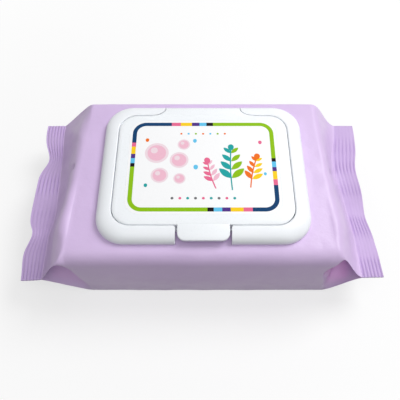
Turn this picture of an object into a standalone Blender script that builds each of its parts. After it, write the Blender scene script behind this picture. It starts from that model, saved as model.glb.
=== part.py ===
"""A wet wipes pack: a film flow-wrap pouch with tucked gussets and crimped end seals, a stack of
folded wipes inside, and a hinged flip-top cap bonded over the dispensing opening.

Metres, +Z up. The origin is on the floor under the middle of the pouch, +X runs along its
length and +Y points to the cap's hinge."""

import math

import bmesh
import bpy
from mathutils import Vector

MM = 0.001
GAP = 0.3 * MM  # air left between two pieces that touch

# Pouch, outside sizes
PACK_DEPTH = 100.5 * MM
PACK_HEIGHT = 44.0 * MM
FILM = 0.45 * MM
FRONT_CORNER = 8.0 * MM
REAR_CORNER = 3.0 * MM
BOTTOM_CORNER = 1.6 * MM
FRONT_BULGE = 0.9 * MM  # how far a long side swells out below its top corner
REAR_BULGE = 0.3 * MM

# The stack of wipes, which the pouch is wrapped around
STACK_LENGTH = 119.0 * MM
STACK_OFFSET = 2.4 * MM
STACK_CLEARANCE = 0.35 * MM
STACK_EDGE = 7.6 * MM
STACK_LEFT = STACK_LENGTH / 2 - STACK_OFFSET
STACK_RIGHT = STACK_LENGTH / 2 + STACK_OFFSET

# Where the flat faces end and the end panels start, a little past the stack's ends
LEFT_TOP_REAR = STACK_LEFT + 5.6 * MM
LEFT_TOP_FRONT = STACK_LEFT + 10.9 * MM
LEFT_BOTTOM = STACK_LEFT + 2.4 * MM
RIGHT_TOP_REAR = STACK_RIGHT + 2.9 * MM
RIGHT_TOP_FRONT = STACK_RIGHT + 6.1 * MM
RIGHT_BOTTOM = STACK_RIGHT + 5.9 * MM

# End seals, at half height
SEAL_HEIGHT = 0.5 * PACK_HEIGHT
SEAL_REACH = 26.1 * MM  # from half the stack's length to the seal's inner edge
SEAL_INNER = STACK_LENGTH / 2 + SEAL_REACH
SEAL_WIDTH = 11.0 * MM
SEAL_THICKNESS = 1.0 * MM
SEAL_RIBS = 6
RIB_RISE = 0.45 * MM

# Gussets and end panels
GUSSET_TUCK = 20.0 * MM
LEFT_FOLD = 22.0  # degrees round the top corner at which the gusset's crease starts
RIGHT_FOLD = 48.0
RIGHT_DRAW = 3.2 * MM  # how far in from the front the right crease starts
FRONT_HOLLOW = 4.2 * MM  # how far the right front gusset reaches back into the front face
FRONT_HOLLOW_LEVEL = 0.66  # its place and spread, as shares of the height
FRONT_HOLLOW_SPREAD = 0.24
FRONT_HOLLOW_FROM = 40.0 * MM  # where it starts, along Y, and how far it takes to its full depth
FRONT_HOLLOW_OVER = 9.0 * MM
LEFT_EDGE_HOLLOW = 0.1  # 0 for a straight slope along the crease, 1 for an S-curve
RIGHT_EDGE_HOLLOW = 0.6
SHOULDER_ROUND = 0.22  # roundness of the shoulder between the two creases
TAUT_FROM = 26.0 * MM  # the panel is taut from here, along Y, over the next distance
TAUT_OVER = 20.0 * MM
CREASE_POWER = 12  # how soon after the shoulder the corners sharpen to creases
CLOSING_SHARE = 0.1  # the last share of the panel, over which the gusset closes to the seal

# Cavity's ends: clear of the gussets, with a wall that gets thicker where the film lies folded
CAVITY_TURN = 3.0 * MM
CAVITY_AHEAD = 0.05
LAYERED_FILM = 5.0 * MM

# Back fin seal under the pouch, lying in a shallow channel
FIN_WIDTH = 12.0 * MM
FIN_THICKNESS = 0.5 * MM
CHANNEL_DEPTH = 0.7 * MM
CHANNEL_MARGIN = 1.5 * MM

# Kinks of the end seals: place along Y, width, pull inwards, lift
LEFT_KINKS = (
    (26.0 * MM, 9.0 * MM, 3.8 * MM, -1.6 * MM),
    (-26.5 * MM, 7.0 * MM, 4.6 * MM, 2.4 * MM),
    (3.0 * MM, 12.0 * MM, 1.2 * MM, 1.2 * MM),
)
RIGHT_KINKS = (
    (15.0 * MM, 15.0 * MM, 4.4 * MM, 2.0 * MM),
    (-12.0 * MM, 13.0 * MM, 2.0 * MM, -1.4 * MM),
)
CREASE_DEPTH = 0.5 * MM

# Waists, where the seals are drawn in: place along Y, width, depth
LEFT_WAIST = (-6.0 * MM, 32.0 * MM, 3.4 * MM)
RIGHT_WAIST = (18.0 * MM, 24.0 * MM, 5.4 * MM)

# The next wipe's folded edge
TUFT_LENGTH = 38.0 * MM
TUFT_WIDTH = 9.0 * MM
TUFT_HEIGHT = 3.6 * MM

# Flip-top cap, outside sizes
CAP_LENGTH = 110.0 * MM
CAP_DEPTH = 84.8 * MM
CAP_CENTRE = (1.6 * MM, 2.3 * MM)
CAP_RISE = 6.0 * MM  # from the film to the parting line between frame and lid
CAP_CORNER = 15.0 * MM
LID_CORNER = 10.0 * MM
RING_WIDTH = 8.3 * MM
FLANGE = 1.0 * MM
PARTING_GAP = 0.4 * MM
WALL = 1.2 * MM
ADHESIVE = 0.4 * MM
ADHESIVE_MARGIN = 1.5 * MM

# Dispensing opening
OPENING_LENGTH = 64.0 * MM
OPENING_DEPTH = 34.0 * MM
OPENING_CORNER = 13.0 * MM
LIP_HEIGHT = 1.8 * MM
LIP_THICKNESS = 1.1 * MM
FILM_EDGE = 3.0 * MM  # how far the film's cut edge shows inside the cap's opening

# Lid
LID_CROWN = 0.3 * MM
LID_PLATE = 1.1 * MM
LID_ROUND = 2.4 * MM  # width of the lid's soft edge, and where it ends below the parting line
LID_EDGE_DROP = 0.4 * MM
SKIRT_WALL = 1.1 * MM
SKIRT_CLEARANCE = 0.8 * MM
SEAL_RIB = 1.0 * MM
TAB_WIDTH = 26.2 * MM
TAB_CORNER = 3.6 * MM
TAB_THICKNESS = 1.4 * MM
TAB_DROP = 1.3 * MM
TAB_SHORT = 0.6 * MM  # how far the tab ends behind the frame's front line
TAB_EDGE = 0.35 * MM
NOTCH_CLEARANCE = 1.0 * MM
NOTCH_ROUND = 1.4 * MM
LAND_WIDTH = 42.4 * MM
LAND_FLARE = 7.4 * MM
LAND_FLARE_DEPTH = 5.0 * MM
HINGE_WALL = 0.55 * MM

# Label in a shallow recess of the lid, with margins to the lid's edge
LABEL_END_MARGIN = 6.5 * MM
LABEL_FRONT_MARGIN = 5.8 * MM
LABEL_REAR_MARGIN = 4.0 * MM
LABEL_CORNER = 8.0 * MM
LABEL_THICKNESS = 0.25 * MM

# Levels worked out from the sizes above
FILM_TOP = PACK_HEIGHT
FOOT = FILM_TOP + GAP
ADHESIVE_BOTTOM = FILM_TOP + GAP
FLOOR_BOTTOM = ADHESIVE_BOTTOM + ADHESIVE + GAP
FLOOR_TOP = FLOOR_BOTTOM + WALL
PARTING = FILM_TOP + CAP_RISE
LIP_TOP = FLOOR_TOP + LIP_HEIGHT
LID_TOP = PARTING + LID_CROWN
LID_UNDER = PARTING - LID_PLATE
SKIRT_BOTTOM = FLOOR_TOP + SKIRT_CLEARANCE
LABEL_BOTTOM = LID_TOP - LABEL_THICKNESS
RECESS_FLOOR = LABEL_BOTTOM - GAP
CAP_X, CAP_Y = CAP_CENTRE
POCKET_INSET = RING_WIDTH - PARTING_GAP / 2
LID_INSET = RING_WIDTH + PARTING_GAP / 2
ARCH_WIDTH = POCKET_INSET - 0.8 * MM
CAP_FRONT = CAP_Y - CAP_DEPTH / 2
CAP_REAR = CAP_Y + CAP_DEPTH / 2
LAND_START = CAP_REAR - RING_WIDTH
LAND_STRAIGHT = LAND_START + LAND_FLARE_DEPTH
LAND_END = HINGE_WALL + PARTING_GAP - 0.05 * MM
NOTCH_WIDTH = TAB_WIDTH + 2 * NOTCH_CLEARANCE
GROOVE_INSET = 0.55 * ARCH_WIDTH
LABEL_LENGTH = CAP_LENGTH - 2 * (LID_INSET + LABEL_END_MARGIN)
LABEL_DEPTH = CAP_DEPTH - 2 * LID_INSET - LABEL_FRONT_MARGIN - LABEL_REAR_MARGIN
LABEL_SHIFT = (LABEL_FRONT_MARGIN - LABEL_REAR_MARGIN) / 2

# Fineness
CROWN_STEPS = 18
CORNER_POINTS = 5
WALL_POINTS = 3
PANEL_STATIONS = (0.0, 0.015, 0.05, 0.1, 0.17, 0.26, 0.38, 0.53, 0.7, 0.85, 0.93, 1.0)
CAVITY_STATIONS = (0.0, 0.06, 0.15, 0.28)
BODY_STATIONS = 5
OUTLINE_CORNER_STEPS = 7
ARCH_STEPS = 6
TUFT_STEPS = 12


def collection(name):
    """A new collection in the scene."""
    made = bpy.data.collections.new(name)
    bpy.context.scene.collection.children.link(made)
    return made


def material(name, colour, roughness):
    """A Principled material of one colour."""
    made = bpy.data.materials.new(name)
    made.use_nodes = True
    shader = made.node_tree.nodes["Principled BSDF"]
    shader.inputs["Base Color"].default_value = (*colour, 1.0)
    shader.inputs["Roughness"].default_value = roughness
    shader.inputs["Metallic"].default_value = 0.0
    made.diffuse_color = (*colour, 1.0)
    return made


def object_from(name, bm, look=None, into=None, origin=(0.0, 0.0, 0.0)):
    """An object of a bmesh given in world coordinates, with its origin where it is asked for."""
    bmesh.ops.recalc_face_normals(bm, faces=bm.faces)
    bmesh.ops.translate(bm, verts=bm.verts, vec=-Vector(origin))
    mesh = bpy.data.meshes.new(name)
    bm.to_mesh(mesh)
    bm.free()
    made = bpy.data.objects.new(name, mesh)
    made.location = origin
    (into or CUTTERS).objects.link(made)
    if look:
        mesh.materials.append(look)
        mesh.shade_smooth()
        mesh.set_sharp_from_angle(angle=math.radians(32))
    else:
        made.hide_render = True
        made.display_type = "WIRE"
    return made


def boolean(target, tool, operation="DIFFERENCE"):
    """A Boolean modifier that keeps its tool as a guide."""
    cut = target.modifiers.new(tool.name, "BOOLEAN")
    cut.operation = operation
    cut.solver = "EXACT"
    cut.object = tool


def loft(rings, closed=False, paired=False):
    """Rings of equally many points, skinned in order. The ends are closed by one flat face each,
    or by a strip between the halves of each ring, or the last ring is joined to the first."""
    bm = bmesh.new()
    rows = [[bm.verts.new(point) for point in ring] for ring in rings]
    count = len(rows[0])
    spans = list(zip(rows, rows[1:]))
    if closed:
        spans.append((rows[-1], rows[0]))
    for low, high in spans:
        for i in range(count):
            j = (i + 1) % count
            bm.faces.new((low[i], low[j], high[j], high[i]))
    if not closed:
        for row in (rows[0], rows[-1]):
            if paired:
                close_by_pairs(bm, row)
            else:
                bm.faces.new(row)
    return bm


def close_by_pairs(bm, row):
    """Closes a ring whose point k lies across from point n - k."""
    count = len(row)
    half = count // 2
    bm.faces.new((row[0], row[1], row[count - 1]))
    for k in range(1, half - 1):
        bm.faces.new((row[k], row[k + 1], row[count - k - 1], row[count - k]))
    bm.faces.new((row[half - 1], row[half], row[half + 1]))


def mix(a, b, share):
    return a + (b - a) * share


def smooth(share):
    share = min(1.0, max(0.0, share))
    return share * share * (3.0 - 2.0 * share)


def bump(place, middle, width):
    return math.exp(-(((place - middle) / width) ** 2))


def spread(first, last, steps):
    return [mix(first, last, k / steps) for k in range(steps + 1)]


# The pouch's film


def kinks_of(side):
    return LEFT_KINKS if side < 0 else RIGHT_KINKS


def seal_pull(side, y):
    """How far a kink pulls the seal's outer edge towards the middle."""
    return sum(pull * bump(y, middle, width) for middle, width, pull, _ in kinks_of(side))


def seal_lift(side, y):
    """How far the buckled seal lies above or below half height."""
    return sum(lift * bump(y, middle, width) for middle, width, _, lift in kinks_of(side))


def seal_inner(side, y):
    """Where the seal starts, along X: drawn in at its waist."""
    middle, width, depth = LEFT_WAIST if side < 0 else RIGHT_WAIST
    return SEAL_INNER - depth * bump(y, middle, width)


def shoulder(side, y, height):
    """Where the flat face ends, for a point's place across the pack and its share of the height."""
    rear, front, bottom = (
        (LEFT_TOP_REAR, LEFT_TOP_FRONT, LEFT_BOTTOM)
        if side < 0
        else (RIGHT_TOP_REAR, RIGHT_TOP_FRONT, RIGHT_BOTTOM)
    )
    x = mix(bottom, mix(front, rear, 0.5 + y / PACK_DEPTH), height)
    if side > 0:
        level = bump(height, FRONT_HOLLOW_LEVEL, FRONT_HOLLOW_SPREAD)
        x -= FRONT_HOLLOW * level * smooth((-y - FRONT_HOLLOW_FROM) / FRONT_HOLLOW_OVER)
    return x


def film_side(drop, tuck, fold_angle, corner, bulge, draw, inset):
    """One side of a film section as (distance from the middle, z) points: from the gusset's fold
    up to the top corner's end, and from the fold down to the bottom corner's end."""
    half = PACK_DEPTH / 2 - inset
    thin = SEAL_THICKNESS / 2
    raised = CHANNEL_DEPTH if inset else 0.0
    body_share = (1.0 - drop) ** CREASE_POWER
    fold = (half - tuck, SEAL_HEIGHT)

    def arc(level, body_radius, direction):
        radius = mix(0.6 * thin, body_radius - inset, body_share)
        middle = half - radius
        if direction > 0:
            middle -= mix(bulge, 0.0, drop) + draw * (1.0 - drop) * (1.0 - body_share)
        first = mix(fold_angle, 0.0, body_share)
        points = []
        for degrees in spread(first, 90.0, CORNER_POINTS - 1):
            turn = math.radians(degrees)
            z = level - direction * radius * (1.0 - math.sin(turn))
            points.append((middle + radius * math.cos(turn), z))
        return points

    def wall(end):
        shares = [k / (WALL_POINTS + 1) for k in range(1, WALL_POINTS + 1)]
        power = 0.9 if tuck else 2.0
        return [(mix(fold[0], end[0], s**power), mix(fold[1], end[1], s)) for s in shares]

    above = arc(mix(PACK_HEIGHT - inset, SEAL_HEIGHT + thin, drop), corner, 1)
    below = arc(mix(inset + raised, SEAL_HEIGHT - thin, drop), BOTTOM_CORNER, -1)
    return [fold, *wall(above[0]), *above], [*wall(below[0]), *below]


def film_section(side, drop, tuck, channel, inset=0.0):
    """One film section as (y, z) points: from the rear fold over the top to the front fold and
    back underneath. The drop goes from 0 on the body to 1 at the seal, where both faces meet."""
    fold_angle, draw = (LEFT_FOLD, 0.0) if side < 0 else (RIGHT_FOLD, RIGHT_DRAW)
    rear_top, rear_low = film_side(drop, tuck, fold_angle, REAR_CORNER, REAR_BULGE, 0.0, inset)
    front_top, front_low = film_side(drop, tuck, fold_angle, FRONT_CORNER, FRONT_BULGE, draw, inset)
    top = rear_top[-1][1]
    places = spread(rear_top[-1][0], -front_top[-1][0], CROWN_STEPS)[1:-1]
    sole = fin_profile(rear_low[-1][1], channel, rear_low[-1][0])
    sole = [(mix(y, place, drop), z) for (y, z), place in zip(sole, reversed(places))]

    ring = rear_top + [(y, top) for y in places] + [(-y, z) for y, z in reversed(front_top)]
    return ring + [(-y, z) for y, z in front_low] + sole + rear_low[::-1]


def fin_profile(bottom, channel, reach):
    """The underside between the two bottom corners, front to rear: the film's channel with the
    flattened fin seal in it. The channel share goes from 1 on the body to 0 at the seal."""
    edge = FIN_WIDTH / 2 + CHANNEL_MARGIN
    ramp = 0.6 * MM
    depth = CHANNEL_DEPTH * channel
    fin = depth - FIN_THICKNESS * channel
    corners = [(edge - ramp, depth), (FIN_WIDTH / 2, depth), (FIN_WIDTH / 2 - ramp / 3, fin)]
    flat_points = CROWN_STEPS // 2 - 1 - len(corners)
    half = [(y, 0.0) for y in spread(reach, edge, flat_points)[1:]] + corners
    front = [(-y, bottom + rise) for y, rise in half]
    rear = [(y, bottom + rise) for y, rise in reversed(half)]
    return front + [(0.0, bottom + fin)] + rear


def middle_drop(share):
    """How far the panel's middle has come down: a rounded shoulder, then a hollow slope."""
    share = mix(share, smooth(share), 0.35)
    start = SHOULDER_ROUND
    return (math.hypot(share, start) - start) / (math.hypot(1.0, start) - start)


def edge_drop(side, share):
    """The same beside the creases, where the panel is taut and starts down at once."""
    return mix(share, smooth(share), LEFT_EDGE_HOLLOW if side < 0 else RIGHT_EDGE_HOLLOW)


def panel_tuck(share, drop):
    """The side film keeps its height, so it folds in as its edges come together."""
    closing = min(1.0, (1.0 - share) / CLOSING_SHARE)
    return GUSSET_TUCK * math.sqrt(1.0 - (1.0 - drop) ** 2) * closing


def panel_crease(side, y, share):
    """Creases that run from the seal's kinks up the end panel."""
    fade = math.sin(math.pi * share)
    return CREASE_DEPTH * fade * sum(
        math.copysign(1.0, lift) * bump(y, middle * mix(1.25, 1.0, share), 0.75 * width)
        for middle, width, _, lift in kinks_of(side)
    )


def panel_ring(side, share, inset=0.0, ahead=0.0, back=0.0):
    """A film ring on an end panel, at its share of the way from the shoulder to the seal. The
    cavity's rings are drawn in by an inset, fold in ahead of the skin and can lie further back."""
    taut = edge_drop(side, share)
    tuck = panel_tuck(share + ahead, edge_drop(side, share + ahead)) + (4 * inset if ahead else 0.0)
    channel = 0.0 if inset else 1.0 - share
    soft_section = film_section(side, middle_drop(share), tuck, channel, inset)
    taut_section = film_section(side, taut, tuck, channel, inset)
    ring = []
    for (soft_y, soft_z), (taut_y, taut_z) in zip(soft_section, taut_section):
        edge = smooth((abs(taut_y) - TAUT_FROM) / TAUT_OVER)
        y, z = mix(soft_y, taut_y, edge), mix(soft_z, taut_z, edge)
        height = mix(z / PACK_HEIGHT, float(z > SEAL_HEIGHT), smooth(3.0 * share))
        x = mix(shoulder(side, y, height), seal_inner(side, y), share) - back
        lean = (z - SEAL_HEIGHT) / (PACK_HEIGHT / 2)
        z += panel_crease(side, y, share) * lean + seal_lift(side, y) * share**3
        ring.append(Vector((side * x, y, z)))
    return ring


def seal_ring(side, station, stations):
    """A film ring in the crimped seal: peaks and valleys take turns across its width."""
    share = station / stations
    rise = RIB_RISE / 2 * (-1.0 if station % 2 else 1.0)
    ring = []
    for y, z in film_section(side, 1.0, 0.0, 0.0):
        x = mix(seal_inner(side, y), SEAL_INNER + SEAL_WIDTH - seal_pull(side, y), share)
        ring.append(Vector((side * x, y, z + rise + seal_lift(side, y) * mix(1.0, 1.5, share))))
    return ring


def body_rings(inset=0.0):
    """The rings between the two shoulders."""
    left = panel_ring(-1, 0.0, inset)
    right = panel_ring(1, 0.0, inset)
    steps = range(1, BODY_STATIONS + 1)
    return [
        [a.lerp(b, k / (BODY_STATIONS + 1)) for a, b in zip(left, right)] for k in steps
    ]


def cavity_end(side):
    """The hollow's rings at one end. It folds in ahead of the gusset, and its wall thickens."""
    rings = [panel_ring(side, 0.0, FILM, back=CAVITY_TURN)]
    for share in CAVITY_STATIONS:
        rings.append(panel_ring(side, share, FILM + LAYERED_FILM * share, ahead=CAVITY_AHEAD))
    return rings


def film_pouch():
    """The pouch: an outer skin, hollowed by an inner one, and cut open under the cap."""
    crimps = 2 * SEAL_RIBS
    left = [seal_ring(-1, k, crimps) for k in range(crimps, 0, -1)]
    left += [panel_ring(-1, share) for share in reversed(PANEL_STATIONS)]
    right = [panel_ring(1, share) for share in PANEL_STATIONS]
    right += [seal_ring(1, k, crimps) for k in range(1, crimps + 1)]
    skin = loft(left + body_rings() + right, paired=True)
    pouch = object_from("film_pouch", skin, FILM_LOOK, PARTS)

    hollow = cavity_end(-1)[::-1] + body_rings(FILM) + cavity_end(1)
    boolean(pouch, object_from("cavity", loft(hollow)))

    cut = [cut_outline(-FILM_EDGE, level) for level in (FILM_TOP - 2 * FILM, FILM_TOP + 2 * FILM)]
    boolean(pouch, object_from("film_cut", loft(cut)))
    return pouch


# Outlines of the cap, all rounded rectangles around the cap's centre


def rounded(length, depth, radius, level):
    """A rounded rectangle, counter-clockwise seen from above."""
    ring = []
    for right, rear, start in ((1, -1, -90), (1, 1, 0), (-1, 1, 90), (-1, -1, 180)):
        for k in range(OUTLINE_CORNER_STEPS + 1):
            turn = math.radians(start + 90 * k / OUTLINE_CORNER_STEPS)
            x = CAP_X + right * (length / 2 - radius) + radius * math.cos(turn)
            y = CAP_Y + rear * (depth / 2 - radius) + radius * math.sin(turn)
            ring.append(Vector((x, y, level)))
    return ring


def frame_outline(inset, level):
    """The cap's outline drawn in, with the corner easing from the frame's to the lid's."""
    radius = mix(CAP_CORNER, LID_CORNER, min(1.0, inset / RING_WIDTH))
    radius -= max(0.0, inset - RING_WIDTH)
    return rounded(CAP_LENGTH - 2 * inset, CAP_DEPTH - 2 * inset, radius, level)


def lid_outline(inset, level):
    return frame_outline(LID_INSET + inset, level)


def cut_outline(grow, level):
    """The dispensing opening's outline, drawn out or in."""
    radius = OPENING_CORNER + grow
    return rounded(OPENING_LENGTH + 2 * grow, OPENING_DEPTH + 2 * grow, radius, level)


def label_outline(grow, level):
    radius = LABEL_CORNER + grow
    ring = rounded(LABEL_LENGTH + 2 * grow, LABEL_DEPTH + 2 * grow, radius, level)
    return [point + Vector((0.0, LABEL_SHIFT, 0.0)) for point in ring]


def arch_level(inset):
    """The height of the frame's convex outer face above a point drawn in from its edge."""
    run = min(1.0, max(0.0, (ARCH_WIDTH - inset) / ARCH_WIDTH))
    start = FOOT + FLANGE
    return start + (PARTING - start) * math.sqrt(1.0 - run * run)


def tongue(stations, half_width, low, high, edge):
    """A plate lofted along Y, whose half width and both faces follow functions of y."""
    rings = []
    for y in stations:
        half, bottom, top = half_width(y), low(y), high(y)
        profile = [(half, bottom), (half, top), (-half, top), (-half, bottom)]
        if edge:
            profile = [
                (half, bottom + edge), (half, top - edge), (half - edge, top),
                (-half + edge, top), (-half, top - edge), (-half, bottom + edge),
                (-half + edge, bottom), (half - edge, bottom),
            ]
        rings.append([Vector((CAP_X + x, y, z)) for x, z in profile])
    return loft(rings)


# The cap's frame


def cap_base():
    """The moulded frame: convex ring, pocket for the lid, floor with the lipped opening."""
    arch = [ARCH_WIDTH * (1.0 - math.cos(math.pi / 2 * k / ARCH_STEPS)) for k in range(ARCH_STEPS + 1)]
    rings = [frame_outline(inset, arch_level(inset)) for inset in arch]
    rings += [
        frame_outline(POCKET_INSET - 0.25 * MM, PARTING - 0.02 * MM),
        frame_outline(POCKET_INSET, PARTING - 0.25 * MM),
        frame_outline(POCKET_INSET, FLOOR_TOP),
        cut_outline(LIP_THICKNESS, FLOOR_TOP),
        cut_outline(LIP_THICKNESS, LIP_TOP - 0.3 * MM),
        cut_outline(0.7 * LIP_THICKNESS, LIP_TOP),
        cut_outline(0.3 * LIP_THICKNESS, LIP_TOP),
        cut_outline(0.0, LIP_TOP - 0.3 * MM),
        cut_outline(0.0, FLOOR_BOTTOM),
        frame_outline(RING_WIDTH, FLOOR_BOTTOM),
        frame_outline(RING_WIDTH - 0.4 * MM, FOOT),
        frame_outline(0.0, FOOT),
    ]
    base = object_from("cap_base", loft(rings, closed=True), PLASTIC_LOOK, PARTS)
    boolean(base, hollow_cutter())
    boolean(base, notch_cutter())
    boolean(base, notch_sill_cutter())
    boolean(base, land_cutter())
    return base


def hollow_cutter():
    """The groove that leaves the ring as a thin wall from below, closed beside notch and hinge."""
    deep = arch_level(GROOVE_INSET) - WALL
    rings = [
        frame_outline(WALL, FOOT - 2 * GAP),
        frame_outline(WALL, mix(FOOT, deep, 0.2)),
        frame_outline(mix(WALL, GROOVE_INSET, 0.35), mix(FOOT, deep, 0.75)),
        frame_outline(GROOVE_INSET, deep),
        frame_outline(POCKET_INSET - WALL, deep),
        frame_outline(POCKET_INSET - WALL, FOOT - 2 * GAP),
    ]
    groove = object_from("groove", loft(rings, closed=True))
    for name, width, y in (
        ("notch_keep", NOTCH_WIDTH + 4 * WALL, CAP_FRONT),
        ("hinge_keep", LAND_WIDTH + 2 * LAND_FLARE + 4 * WALL, CAP_REAR),
    ):
        boolean(groove, box(name, (CAP_X, y, FILM_TOP), (width, 3 * RING_WIDTH, 4 * CAP_RISE)))
    return groove


def box(name, centre, size):
    """A guide box, for cutting."""
    bm = bmesh.new()
    bmesh.ops.create_cube(bm, size=1.0)
    bmesh.ops.scale(bm, verts=bm.verts, vec=size)
    bmesh.ops.translate(bm, verts=bm.verts, vec=centre)
    return object_from(name, bm)


def notch_cutter():
    """The gap in the ring's front that takes the lid's tab, with rounded ends to the ring."""
    inner = CAP_FRONT + POCKET_INSET

    def half_width(y):
        out = max(0.0, CAP_FRONT + NOTCH_ROUND - y) / NOTCH_ROUND
        back = max(0.0, y - (inner - NOTCH_ROUND)) / NOTCH_ROUND
        turn = min(1.0, max(out, back))
        return NOTCH_WIDTH / 2 + NOTCH_ROUND * (1.0 - math.sqrt(1.0 - turn * turn))

    stations = [CAP_FRONT - 2 * NOTCH_ROUND, *spread(CAP_FRONT, CAP_FRONT + NOTCH_ROUND, 4)]
    stations += [*spread(inner - NOTCH_ROUND, inner, 4), inner + PARTING_GAP]
    bm = tongue(stations, half_width, lambda y: FLOOR_TOP, lambda y: PARTING + CAP_RISE, 0.0)
    return object_from("notch", bm)


def notch_sill_cutter():
    """Takes the floor away in front of the lid, so that the film shows below the tab."""
    depth = POCKET_INSET - WALL
    centre = (CAP_X, CAP_FRONT - CAP_RISE + depth - RING_WIDTH / 2, FILM_TOP)
    size = (NOTCH_WIDTH - 0.02 * MM, RING_WIDTH + 2 * CAP_RISE, 2 * CAP_RISE)
    return box("notch_sill", centre, size)


def land_half_width(y, grow):
    """The hinge land's half width: a hollow curve where it leaves the lid, straight at the hinge.
    Its gap in the ring is the same curve, grown."""
    run = min(1.0, max(0.0, (LAND_STRAIGHT - y) / (LAND_FLARE_DEPTH - grow)))
    return LAND_WIDTH / 2 + LAND_FLARE - (LAND_FLARE - grow) * math.sqrt(1.0 - run * run)


def curve_stations(first, last, steps):
    """Places along a quarter curve, closer together where it turns fastest."""
    return [last - (last - first) * math.cos(math.pi / 2 * k / steps) for k in range(steps + 1)]


def land_cutter():
    """The gap in the ring's rear that takes the lid's hinge land, up to the thin hinge wall."""
    stations = [CAP_REAR - POCKET_INSET - PARTING_GAP]
    stations += [*curve_stations(LAND_START + PARTING_GAP, LAND_STRAIGHT, 6), CAP_REAR - HINGE_WALL]
    bm = tongue(
        stations,
        lambda y: land_half_width(y, PARTING_GAP),
        lambda y: FLOOR_TOP,
        lambda y: PARTING + CAP_RISE,
        0.0,
    )
    return object_from("land_gap", bm)


# The lid, its label and what it closes


def cap_lid():
    """The lid: a shallow tray upside down, with the opening's seal rib, front tab and hinge land."""
    rib = LIP_THICKNESS + PARTING_GAP
    edge_low = PARTING - LID_EDGE_DROP
    rings = [label_outline(GAP, RECESS_FLOOR), label_outline(GAP, LID_TOP)]
    for degrees in (90, 60, 30, 0):
        turn = math.radians(degrees)
        level = mix(edge_low, LID_TOP, math.sin(turn))
        rings.append(lid_outline(LID_ROUND * (1.0 - math.cos(turn)), level))
    rings += [
        lid_outline(0.0, SKIRT_BOTTOM),
        lid_outline(SKIRT_WALL, SKIRT_BOTTOM),
        lid_outline(SKIRT_WALL, LID_UNDER),
        cut_outline(rib + SEAL_RIB, LID_UNDER),
        cut_outline(rib + SEAL_RIB, SKIRT_BOTTOM),
        cut_outline(rib, SKIRT_BOTTOM),
        cut_outline(rib, LID_UNDER),
    ]
    lid = object_from("cap_lid", loft(rings), PLASTIC_LOOK, PARTS, HINGE)
    boolean(lid, object_from("tab", tab_plate()), "UNION")
    boolean(lid, object_from("land", land_plate()), "UNION")
    return lid


def tab_plate():
    """The finger tab: it runs out over the notch, rounded in plan and bent down a little."""
    root = CAP_FRONT + LID_INSET + SKIRT_WALL / 2
    tip = CAP_FRONT + TAB_SHORT
    bend = CAP_FRONT + LID_INSET

    def half_width(y):
        run = max(0.0, tip + TAB_CORNER - y)
        return TAB_WIDTH / 2 - TAB_CORNER + math.sqrt(max(0.0, TAB_CORNER**2 - run * run))

    def high(y):
        run = max(0.0, (bend - y) / (bend - tip))
        return PARTING - 0.08 * MM - TAB_DROP * run**2.2

    turns = [TAB_CORNER * (1.0 - math.sin(math.pi / 2 * k / 5)) for k in range(5, 0, -1)]
    stations = [tip + turn for turn in turns] + spread(tip + TAB_CORNER, root, 4)
    return tongue(stations, half_width, lambda y: high(y) - TAB_THICKNESS, high, TAB_EDGE)


def land_plate():
    """The hinge land: the lid's strip that carries on over the ring to the hinge."""
    root = CAP_REAR - LID_INSET - SKIRT_WALL / 2
    stations = [root, *curve_stations(LAND_START, LAND_STRAIGHT, 6)]
    stations += spread(LAND_STRAIGHT, CAP_REAR - LAND_END, 4)[1:]

    def high(y):
        return arch_level(CAP_REAR - y) - 0.08 * MM

    return tongue(stations, lambda y: land_half_width(y, 0.0), lambda y: high(y) - 0.9 * WALL, high, 0.0)


def lid_label():
    """The sticker on the lid."""
    rings = [label_outline(0.0, LABEL_BOTTOM), label_outline(0.0, LID_TOP)]
    return object_from("lid_label", loft(rings), LABEL_LOOK, PARTS, HINGE)


def cap_adhesive():
    """The ring of adhesive that bonds the cap to the film."""
    outer, inner = LID_INSET + ADHESIVE_MARGIN, ADHESIVE_MARGIN
    top = ADHESIVE_BOTTOM + ADHESIVE
    rings = [
        frame_outline(outer, ADHESIVE_BOTTOM),
        frame_outline(outer, top),
        cut_outline(inner, top),
        cut_outline(inner, ADHESIVE_BOTTOM),
    ]
    return object_from("cap_adhesive", loft(rings, closed=True), ADHESIVE_LOOK, PARTS)


# The wipes


def wipes_stack():
    """The folded wipes, as one soft block with rounded long edges."""
    low = FILM + CHANNEL_DEPTH + STACK_CLEARANCE
    high = PACK_HEIGHT - FILM - STACK_CLEARANCE
    depth = PACK_DEPTH - 2 * (FILM + STACK_CLEARANCE + FRONT_BULGE)
    bm = bmesh.new()
    bmesh.ops.create_cube(bm, size=1.0)
    bmesh.ops.scale(bm, verts=bm.verts, vec=(STACK_LENGTH, depth, high - low))
    bmesh.ops.translate(bm, verts=bm.verts, vec=(STACK_OFFSET, 0.0, (low + high) / 2))
    long_edges = [e for e in bm.edges if abs(e.verts[0].co.x - e.verts[1].co.x) > STACK_LENGTH / 2]
    bmesh.ops.bevel(bm, geom=long_edges, offset=STACK_EDGE, segments=4, profile=0.5, affect="EDGES")
    return object_from("wipes_stack", bm, WIPES_LOOK, PARTS)


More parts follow.
